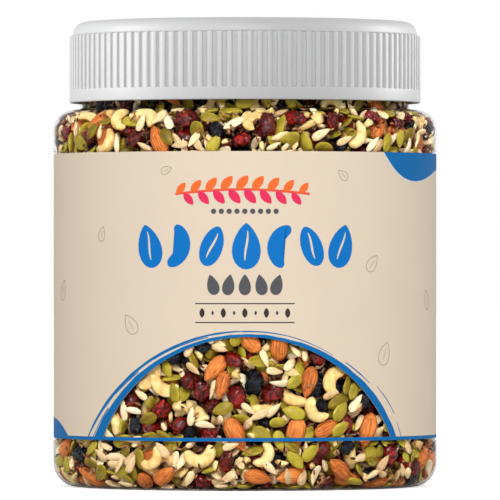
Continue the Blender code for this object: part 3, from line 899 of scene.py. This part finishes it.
class SideWall:
    """The jar's inner side, from the foot ring to the neck, with how deep it is already filled."""

    # The depth map's grid, and how far the map reaches in from the jar's side, out of it and below its foot
    GRID = 0.00025
    REACH_IN, REACH_OUT, REACH_DOWN = 0.034, 0.012, 0.012

    def __init__(self):
        profile = [(FOOT_INNER_RADIUS - 0.001, WALL)] + side_profile(WALL, 10)
        self.profile = np.array(profile)
        steps = np.diff(self.profile, axis=0)
        self.lengths = np.linalg.norm(steps, axis=1)
        self.travel = np.concatenate([[0], np.cumsum(self.lengths)])
        self.alongs = steps / self.lengths[:, None]
        self.low_r, self.low_z = BODY_RADIUS - self.REACH_IN, -self.REACH_DOWN
        r = np.arange(self.low_r, BODY_RADIUS + self.REACH_OUT, self.GRID)
        z = np.arange(self.low_z, NECK_TOP, self.GRID)
        flat = np.stack(np.meshgrid(r, z, indexing="ij"), -1).reshape(-1, 1, 2)
        gap = flat - self.profile[:-1]
        share = np.clip((gap * self.alongs).sum(-1), 0, self.lengths)
        gap -= share[..., None] * self.alongs
        size = np.linalg.norm(gap, axis=-1)
        nearest = size.argmin(1)
        rows = np.arange(len(size))
        inward = np.stack([-self.alongs[:, 1], self.alongs[:, 0]], -1)
        side = (gap[rows, nearest] * inward[nearest]).sum(-1)
        shape = (len(r), len(z))
        self.depths = np.copysign(size[rows, nearest], side).reshape(shape).round(8)
        self.travels = (self.travel[nearest] + share[rows, nearest]).reshape(shape).round(8)
        self.columns = int(2 * math.pi * BODY_RADIUS / CELL)
        self.filled = np.zeros((int(self.travel[-1] / CELL) + 2, self.columns))

    def locate(self, points):
        """Row, column and depth from the wall of each point."""
        r = np.hypot(points[..., 0], points[..., 1])
        i = np.clip(((r - self.low_r) / self.GRID).astype(int), 0, self.depths.shape[0] - 1)
        j = ((points[..., 2] - self.low_z) / self.GRID).astype(int)
        j = np.clip(j, 0, self.depths.shape[1] - 1)
        turn = np.arctan2(points[..., 0], -points[..., 1]) / (2 * math.pi)
        column = (turn * self.columns).astype(int) % self.columns
        return (self.travels[i, j] / CELL).astype(int), column, self.depths[i, j]

    def shows(self, spots):
        """Which of these places the label leaves in sight."""
        x, y, z = spots.T
        below = z < LABEL_BOTTOM + LABEL_OVERLAP
        above = (z > LABEL_TOP - LABEL_OVERLAP) & (z < MIX_SHOWS_UP_TO)
        window = (y < 0) & (np.hypot(x, z) < WINDOW_RADIUS + LABEL_OVERLAP)
        return below | above | window

    def stands(self, count, rng):
        """Random places that show: each spot, and the axes round the wall, up it and inward."""
        travel = rng.uniform(0, self.travel[-1], 4 * count)
        angle = rng.uniform(0, 2 * math.pi, 4 * count)
        k = np.minimum(np.searchsorted(self.travel, travel, side="right") - 1, len(self.lengths) - 1)
        r, z = (self.profile[k] + self.alongs[k] * (travel - self.travel[k])[:, None]).T
        zero = np.zeros(4 * count)
        out = np.stack([np.sin(angle), -np.cos(angle), zero], 1)
        spots = out * r[:, None] + np.stack([zero, zero, z], 1)
        ups = out * self.alongs[k, :1] + np.stack([zero, zero, self.alongs[k, 1]], 1)
        inwards = out * -self.alongs[k, 1:] + np.stack([zero, zero, self.alongs[k, 0]], 1)
        axes = np.stack([np.cross(ups, inwards), ups, inwards], 2)
        chosen = np.flatnonzero(self.shows(spots))
        return spots[chosen].round(9), axes[chosen].round(9)


class Floor:
    """The pushed-up middle of the jar's base, inside."""

    MARGIN_CELLS = 14

    def __init__(self):
        self.level = PUSH_UP + WALL
        self.half = int(PUSH_UP_RADIUS / CELL) + self.MARGIN_CELLS
        self.filled = np.zeros((2 * self.half, 2 * self.half))

    def locate(self, points):
        cells = np.clip((points[..., :2] / CELL).astype(int) + self.half, 0, 2 * self.half - 1)
        return cells[..., 0], cells[..., 1], points[..., 2] - self.level

    def stands(self, count, rng):
        r = (PUSH_UP_RADIUS + 0.001) * np.sqrt(rng.random(count))
        angle = rng.uniform(0, 2 * math.pi, count)
        spots = np.stack([r * np.cos(angle), r * np.sin(angle), np.full(count, self.level)], 1).round(9)
        return spots, np.broadcast_to(np.eye(3), (count, 3, 3))


def times(a, b):
    """Products of two stacks of matrices, added up in a fixed order so that each run gives the same."""
    return sum(a[:, :, j, None] * b[:, None, j, :] for j in range(3))


def turned(points, turns):
    """Points turned by each matrix of a stack, added up in a fixed order for the same reason."""
    return sum(points[None, :, j, None] * turns[:, None, :, j] for j in range(3))


def spun_axes(axes, tilt, rng):
    """Turns each stand by a small random lean and roll and any spin about the wall's normal."""
    count = len(axes)
    spin = rng.uniform(0, 2 * math.pi, count)
    lean = rng.normal(0, tilt, count)
    roll = rng.normal(0, tilt, count)
    zero, one = np.zeros(count), np.ones(count)

    def matrix(*cells):
        return np.stack(cells, 1).reshape(count, 3, 3)

    c, s = np.cos(spin), np.sin(spin)
    about_z = matrix(c, -s, zero, s, c, zero, zero, zero, one)
    c, s = np.cos(lean), np.sin(lean)
    about_y = matrix(c, zero, s, zero, one, zero, -s, zero, c)
    c, s = np.cos(roll), np.sin(roll)
    about_x = matrix(one, zero, zero, zero, c, -s, zero, s, c)
    return times(times(times(axes, about_z), about_y), about_x).round(9)


TILTS = {
    "almond": 0.25,
    "cashew": 0.35,
    "raisin": 0.9,
    "cranberry": 0.8,
    "nut_chunk": 1.2,
    "pumpkin_seed": 0.60,
    "sunflower_kernel": 0.60,
    "white_sliver": 0.6,
    "brown_seed": 0.5,
}


def settle(wall, cloud, corners, tilt, spots, axes, rng):
    """Rests one piece on the wall, or on what already lies there, at the shallowest of several places,
    and last moves it in until none of its mesh's corners is past the wall."""
    turns = spun_axes(axes, tilt, rng)
    inward = axes[:, :, 2]
    centres = spots + inward * START_HEIGHT
    spread = turned(cloud, turns).round(9)
    for _ in range(4):
        row, column, depth = wall.locate(spread + centres[:, None])
        need = (np.maximum(wall.filled[row, column] - PRESSED, 0) + CLEARANCE - depth).max(1)
        centres = (centres + inward * need[:, None]).round(9)
    row, column, depth = wall.locate(spread + centres[:, None])
    overlap = (np.maximum(wall.filled[row, column] - PRESSED, 0) + CLEARANCE - depth).max(1)
    overlap = overlap.clip(LEAST_OVERLAP)
    best = (depth.mean(1) + OVERLAP_WEIGHT * overlap).argmin()
    np.maximum.at(wall.filled, (row[best], column[best]), depth[best])
    centre, turn = centres[best], turns[best]
    for _ in range(3):
        past = CLEARANCE - wall.locate(turned(corners, turn[None])[0] + centre)[2].min()
        centre = (centre + inward[best] * max(0.0, past)).round(9)
    return centre, turn


def rim_of(kind, count):
    """How near each point of a kernel is to its rim or its tips, from 0 to 1."""
    if kind == "nut_chunk":
        return np.zeros(count)
    rings, sides = SHAPES[kind][3:5]
    turn = 2 * np.pi * np.arange(sides) / sides
    return np.concatenate([[1], np.tile(np.abs(np.cos(turn)) ** 4, rings), [1]])


def scattered_mesh(name, kind, shapes, rests, rng):
    """All pieces of a kind as one mesh, which carries each piece's grain and tint and how near its rim is."""
    points, faces, grains, tints, rims = [], [], [], [], []
    start = 0
    for variant, size, centre, turn in rests:
        shape, triangles = shapes[variant]
        points.append(turned(shape * size, turn[None])[0] + centre)
        faces.append(triangles + start)
        grains.append(shape * 1000 + rng.uniform(-50, 50, 3))
        tints.append(np.full(len(shape), rng.random()))
        rims.append(rim_of(kind, len(shape)))
        start += len(shape)
    points, faces = np.concatenate(points), np.concatenate(faces)
    mesh = bpy.data.meshes.new(name)
    mesh.vertices.add(len(points))
    mesh.vertices.foreach_set("co", points.astype(np.float32).ravel())
    mesh.loops.add(faces.size)
    mesh.loops.foreach_set("vertex_index", faces.astype(np.int32).ravel())
    mesh.polygons.add(len(faces))
    mesh.polygons.foreach_set("loop_start", np.arange(0, faces.size, 3, dtype=np.int32))
    mesh.update(calc_edges=True)
    grain = mesh.attributes.new("grain", "FLOAT_VECTOR", "POINT")
    grain.data.foreach_set("vector", np.concatenate(grains).astype(np.float32).ravel())
    for attribute, values in (("tint", tints), ("rim", rims)):
        made = mesh.attributes.new(attribute, "FLOAT", "POINT")
        made.data.foreach_set("value", np.concatenate(values).astype(np.float32))
    mesh.shade_smooth()
    return mesh


def kernel_skin_group():
    """Colour and height of a skin: streaks along the grain, broad mottling, and a tint for each piece."""
    takes = {
        "Deep": (0.2, 0.1, 0.05, 1), "Pale": (0.8, 0.6, 0.4, 1), "Along": 0.15, "Across": 1.2,
        "Streaks": 0.5, "Mottle": 0.3, "Tint": 0.4, "Bias": 0.5, "Rim": 0.0,
    }
    group, given, outputs = shader_group("Kernel skin", takes, ("Color", "Height"))
    grain = attribute(group, "grain", "Vector")
    across = given["Across"]
    scale = add_node(group, "ShaderNodeCombineXYZ", {"X": given["Along"], "Y": across, "Z": across})
    stretched = add_node(
        group, "ShaderNodeVectorMath", {0: grain, 1: scale.outputs["Vector"]}, operation="MULTIPLY"
    )
    entries = {"Vector": stretched.outputs["Vector"], "Scale": 1.0, "Detail": 4.0}
    streaks = add_node(group, "ShaderNodeTexNoise", entries).outputs["Fac"]
    entries = {"Vector": grain, "Scale": 0.35, "Detail": 3.0}
    mottle = add_node(group, "ShaderNodeTexNoise", entries).outputs["Fac"]
    share = given["Bias"]
    for value, weight in ((streaks, "Streaks"), (mottle, "Mottle"), (attribute(group, "tint"), "Tint")):
        centred = arithmetic(group, "SUBTRACT", value, 0.5)
        share = arithmetic(group, "MULTIPLY_ADD", centred, given[weight], share)
    share = arithmetic(group, "MULTIPLY_ADD", attribute(group, "rim"), given["Rim"], share)
    skin = blended(group, share, given["Deep"], given["Pale"])
    feed(group, outputs, {"Color": skin, "Height": streaks})
    return group


# Each nut's or seed's deep and pale colour, how finely its streaks run along and across it, the weights of
# streaks, mottle and tint and the bias towards pale, then roughness, relief, subsurface and specular level
FINISHES = {
    "almond": (
        (0.27, 0.055, 0.010), (0.90, 0.275, 0.060), (0.09, 1.9), (2.4, 0.5, 0.5, 0.60), 0.50, 0.7, 0.0, 0.12,
    ),
    "cashew": (
        (0.74, 0.42, 0.11), (1.00, 0.81, 0.38), (0.22, 0.6), (1.0, 1.5, 0.4, 0.62), 0.45, 0.4, 0.1, 0.12,
    ),
    "nut_chunk": (
        (0.66, 0.36, 0.10), (1.00, 0.78, 0.36), (0.5, 0.5), (0.6, 1.0, 0.7, 0.62), 0.55, 0.3, 0.1, 0.12,
    ),
    "pumpkin_seed": (
        (0.17, 0.105, 0.005), (0.44, 0.35, 0.030), (0.15, 1.0), (0.9, 1.0, 1.1, 0.55), 0.36, 0.2, 0.0, 0.2,
    ),
    "sunflower_kernel": (
        (0.50, 0.27, 0.11), (1.00, 0.76, 0.43), (0.12, 1.5), (1.2, 0.9, 0.8, 0.60), 0.50, 0.4, 0.0, 0.12,
    ),
    "white_sliver": (
        (0.85, 0.57, 0.27), (1.00, 0.87, 0.60), (0.2, 1.0), (0.8, 0.8, 0.6, 0.74), 0.50, 0.2, 0.1, 0.12,
    ),
    "brown_seed": (
        (0.045, 0.010, 0.004), (0.44, 0.200, 0.080), (0.4, 1.0), (0.8, 0.6, 1.3, 0.42), 0.24, 0.2, 0.0, 0.3,
    ),
}
KERNEL_RELIEF = 0.0003
# How much paler (over 0) or deeper (under 0) a kernel is along its rim
RIMS = {"pumpkin_seed": 0.5, "sunflower_kernel": 0.3, "almond": -0.15, "cashew": -0.3}
# Dried fruit: painted shade in the folds and colour on the ridges, fineness of the folds, tint, roughness,
# relief, specular
WRINKLED = {
    "raisin": ((0.0008, 0.0008, 0.0012), (0.022, 0.026, 0.042), 0.55, 0.4, 0.30, 0.6, 0.3),
    "cranberry": ((0.026, 0.002, 0.001), (0.46, 0.012, 0.008), 0.27, 0.75, 0.20, 0.35, 0.40),
}
WRINKLE_RELIEF = 0.0010


def wrinkled_skin_group():
    """Colour and height of a shrunken skin: deep folds, their colour painted shade, between smooth ridges,
    and a tint for each piece.
    """
    takes = {"Fold shade": (0.01, 0.0, 0.0, 1), "Ridge": (0.3, 0.02, 0.02, 1), "Size": 0.5, "Tint": 0.5}
    group, given, outputs = shader_group("Wrinkled skin", takes, ("Color", "Height"))
    entries = {"Vector": attribute(group, "grain", "Vector"), "Scale": given["Size"]}
    wavy = add_node(group, "ShaderNodeTexNoise", {**entries, "Detail": 1.0, "Distortion": 0.8})
    centred = arithmetic(group, "SUBTRACT", wavy.outputs["Fac"], 0.5)
    height = arithmetic(group, "ABSOLUTE", centred)
    ridge = add_node(group, "ShaderNodeMapRange", {"Value": height, "From Max": 0.20}).outputs["Result"]
    toned = arithmetic(group, "MULTIPLY", attribute(group, "tint"), given["Tint"])
    share = arithmetic(group, "MULTIPLY", ridge, arithmetic(group, "SUBTRACT", 1.0, toned))
    # Where the ridge share is low the fold colour shows, which is painted shade in the creases
    feed(group, outputs, {"Color": blended(group, share, given["Fold shade"], given["Ridge"]), "Height": ridge})
    return group


def dress(material, skin, entries, relief, distance):
    """Gives a material the colour and the relief that a skin group makes."""
    tree = material.node_tree
    node = add_node(tree, "ShaderNodeGroup", entries, node_tree=skin)
    feed(tree, principled(material), {"Base Color": node.outputs["Color"]})
    raise_surface(material, node.outputs["Height"], relief, distance)
    return material


def wrinkled_finish(kind, folds):
    """A dried fruit's skin, with painted shade in its folds."""
    fold, ridge, size, tint, roughness, relief, gloss = WRINKLED[kind]
    material = new_material(kind, ridge, roughness, Specular_IOR_Level=gloss)
    # The fold colour is painted shade in the creases
    entries = {"Fold shade": (*fold, 1), "Ridge": (*ridge, 1), "Size": size, "Tint": tint}
    return dress(material, folds, entries, relief, WRINKLE_RELIEF)


def kernel_finish(kind, skin):
    """A nut's or seed's skin."""
    deep, pale, streak_size, tones, roughness, relief, inner, gloss = FINISHES[kind]
    material = new_material(
        kind, pale, roughness, Specular_IOR_Level=gloss, Subsurface_Weight=inner, Subsurface_Scale=0.0008
    )
    names = ("Deep", "Pale", "Along", "Across", "Streaks", "Mottle", "Tint", "Bias", "Rim")
    values = ((*deep, 1), (*pale, 1), *streak_size, *tones, RIMS.get(kind, 0.0))
    return dress(material, skin, dict(zip(names, values)), relief, KERNEL_RELIEF)


def mix_heap():
    """All the loose pieces that show, each kind as one joined mesh."""
    rng = np.random.default_rng(MIX_SEED)
    shapes = {kind: variants_of(kind) for kind in COUNTS}
    clouds = {
        kind: [cloud_of(points, faces, rng) for points, faces in made] for kind, made in shapes.items()
    }
    rests = {kind: [] for kind in COUNTS}
    for wall, which in ((SideWall(), 0), (Floor(), 1)):
        queue = [kind for kind, counts in COUNTS.items() for _ in range(counts[which])]
        spots, axes = wall.stands(STANDS, rng)
        rows, columns, _ = wall.locate(spots)
        late = [LATE.get(kind, USUALLY_LATE) for kind in queue]
        turns_up = [rng.random() + wait * (rng.random() > EARLY_SHARE) for wait in late]
        for i in np.argsort(turns_up, kind="stable"):
            kind = queue[i]
            variant = int(rng.integers(VARIANTS))
            size = rng.uniform(*SIZES.get(kind, USUAL_SIZES))
            tried = rng.integers(len(spots), size=TRIES * CHOICE)
            emptiest = np.argsort(wall.filled[rows[tried], columns[tried]], kind="stable")[:TRIES]
            tried = tried[emptiest]
            cloud, corners = clouds[kind][variant] * size, shapes[kind][variant][0] * size
            centre, turn = settle(wall, cloud, corners, TILTS[kind], spots[tried], axes[tried], rng)
            rests[kind].append((variant, size, centre, turn))
    skin, folds = kernel_skin_group(), wrinkled_skin_group()
    for kind, found in rests.items():
        name = PLURALS.get(kind, kind + "s")
        mesh = scattered_mesh(name, kind, shapes[kind], found, rng)
        mesh.materials.append(wrinkled_finish(kind, folds) if kind in WRINKLED else kernel_finish(kind, skin))
        piece = link_piece(name, mesh)
        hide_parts("trail_mix")


def core_seeds_and_painted_shade():
    """The mix behind the pieces that show: small rounded seeds, some brown or pale, most painted dark as the
    gaps' shade, each with painted shade at its edge.
    """
    material = new_material("core", (0.05, 0.02, 0.01), 0.5, Specular_IOR_Level=0.05)
    tree = material.node_tree
    cells = add_node(tree, "ShaderNodeTexVoronoi", {"Vector": object_place(tree), "Scale": 480.0})
    ramp = add_node(tree, "ShaderNodeValToRGB", {"Fac": cells.outputs["Color"]})
    stops = ramp.color_ramp.elements
    # The near-black stop is painted shade of the deep gaps between the pieces
    stops[0].position, stops[0].color = 0.25, (0.008, 0.003, 0.002, 1)
    stops[1].position, stops[1].color = 0.85, (0.62, 0.36, 0.17, 1)
    stops.new(0.55).color = (0.12, 0.038, 0.022, 1)
    # Each seed is darker towards its edge, which is painted shade between the seeds; the same mask raises
    # their bumps
    entries = {"Value": cells.outputs["Distance"], "From Min": 0.75, "From Max": 0.25}
    edge = add_node(tree, "ShaderNodeMapRange", entries).outputs["Result"]
    feed(tree, principled(material), {"Base Color": scaled_colour(tree, ramp.outputs["Color"], edge)})
    raise_surface(material, edge, 1.0, 0.0010)
    return material


def mix_core():
    """The heap's inside: a lumpy solid that closes what shows between the pieces."""
    inset = WALL + CORE_DEPTH
    body = BODY_RADIUS - inset
    neck = NECK_RADIUS - inset
    floor = PUSH_UP + WALL + CORE_ABOVE_FLOOR
    top = MIX_BOX[1][2] - CORE_BELOW_TOP
    profile = [(0, floor)]
    profile += [(r, floor) for r in np.linspace(0.006, 0.058, 14)]
    profile += arc((0.0630, floor + 0.0065), 0.0070, -85, 0, 5)
    profile += [(body - PANEL_DEPTH, z) for z in np.linspace(0.026, 0.140, 44)]
    profile += arc((body - 0.005, BODY_TOP - inset - 0.005), 0.005, 0, 90, 3)
    profile += [(neck, z) for z in np.linspace(BODY_TOP - inset + 0.003, top - 0.004, 12)]
    profile += [(r, top) for r in np.linspace(neck - 0.006, 0.008, 10)] + [(0, top)]
    piece = turned_piece("mix_core", profile, 180, core_seeds_and_painted_shade(), "nuts_and_seeds")
    for vertex in piece.data.vertices:
        place = vertex.co
        amount = CORE_LUMP_DEPTH * noise.noise(place / CORE_LUMP_SIZE)
        away = Vector((place.x, place.y, 0)).normalized()
        if place.z < top - 0.001:
            vertex.co = place + away * amount
        else:
            vertex.co.z = place.z - abs(amount)
    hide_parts("trail_mix")


def light(name, place, target, size, power):
    data = bpy.data.lights.new(name, "AREA")
    data.shape = "RECTANGLE"
    data.size, data.size_y = size
    data.energy = power
    lamp = bpy.data.objects.new(name, data)
    lamp.location = place
    lamp.rotation_euler = (Vector(target) - Vector(place)).to_track_quat("-Z", "Y").to_euler()
    bpy.context.scene.collection.objects.link(lamp)
    return lamp


def white_room():
    """White surroundings: plain white to the camera, and dimmer overhead in what they light."""
    world = bpy.data.worlds.new("white_room")
    bpy.context.scene.world = world
    world.use_nodes = True
    tree = world.node_tree
    tree.nodes.clear()
    ways = add_node(tree, "ShaderNodeTexCoord")
    apart = add_node(tree, "ShaderNodeSeparateXYZ", {"Vector": ways.outputs["Generated"]})
    entries = {"Value": apart.outputs["Z"], "To Min": ROOM_LIGHT, "To Max": ROOM_LIGHT * CEILING_LIGHT}
    dimmed = add_node(tree, "ShaderNodeMapRange", entries)
    white = (1, 1, 1, 1)
    seen = add_node(tree, "ShaderNodeBackground", {"Color": white})
    room = add_node(tree, "ShaderNodeBackground", {"Color": white, "Strength": dimmed.outputs["Result"]})
    rays = add_node(tree, "ShaderNodeLightPath")
    entries = {"Fac": rays.outputs["Is Camera Ray"], 1: room.outputs["Background"]}
    mix = add_node(tree, "ShaderNodeMixShader", {**entries, 2: seen.outputs["Background"]})
    add_node(tree, "ShaderNodeOutputWorld", {"Surface": mix.outputs["Shader"]})


def lamps(cap):
    """A broad front light, and two side lights kept to the cap alone."""
    light("front_light", (0.0, -2.1, 1.15), (0, 0, 0.10), (0.7, 0.6), FRONT_LIGHT)
    only_cap = bpy.data.collections.new("lit_from_the_sides")
    only_cap.objects.link(cap)
    for name, place, power in (
        ("cap_left_light", (-1.4, -0.15, 0.50), CAP_LEFT_LIGHT),
        ("cap_right_light", (1.35, 0.45, 0.50), CAP_RIGHT_LIGHT),
    ):
        lamp = light(name, place, (0, 0, 0.18), (0.5, 0.9), power)
        lamp.light_linking.receiver_collection = only_cap


def white_floor():
    """A round floor, a hair under the jar's foot."""
    floor = bpy.data.objects.new("floor", bpy.data.meshes.new("floor"))
    bm = bmesh.new()
    bmesh.ops.create_circle(bm, cap_ends=True, radius=FLOOR_RADIUS, segments=96)
    bm.to_mesh(floor.data)
    bm.free()
    floor.data.materials.append(floor_white())
    floor.location.z = -FLOOR_DROP
    bpy.context.scene.collection.objects.link(floor)


def floor_white():
    """A pale floor that glows to the camera alone, so that it shows as white as the background."""
    grey = (0.90, 0.90, 0.90)
    material = new_material("floor_white", grey, 0.9, Specular_IOR_Level=0.0, Emission_Color=(1, 1, 1, 1))
    tree = material.node_tree
    rays = add_node(tree, "ShaderNodeLightPath")
    glow = arithmetic(tree, "MULTIPLY", rays.outputs["Is Camera Ray"], FLOOR_GLOW)
    feed(tree, principled(material), {"Emission Strength": glow})
    return material


def camera():
    data = bpy.data.cameras.new("camera")
    data.lens = CAMERA_LENS
    data.sensor_width = 36.0
    data.clip_end = 100.0
    made = bpy.data.objects.new("camera", data)
    made.location = CAMERA_PLACE
    made.rotation_euler = (CAMERA_TARGET - CAMERA_PLACE).to_track_quat("-Z", "Y").to_euler()
    bpy.context.scene.collection.objects.link(made)
    bpy.context.scene.camera = made


camera()
jar_shell()
bpy.context.scene.view_settings.view_transform = "Standard"
white_room()
lamps(ribbed_cap())
white_floor()
print_mottle = print_mottle_group()
inks = {name: print_colour(name, colour, print_mottle) for name, colour in PRINT_COLOURS.items()}
label_sleeve(inks["label_beige"])
printed_label(inks)
mix_core()
mix_heap()
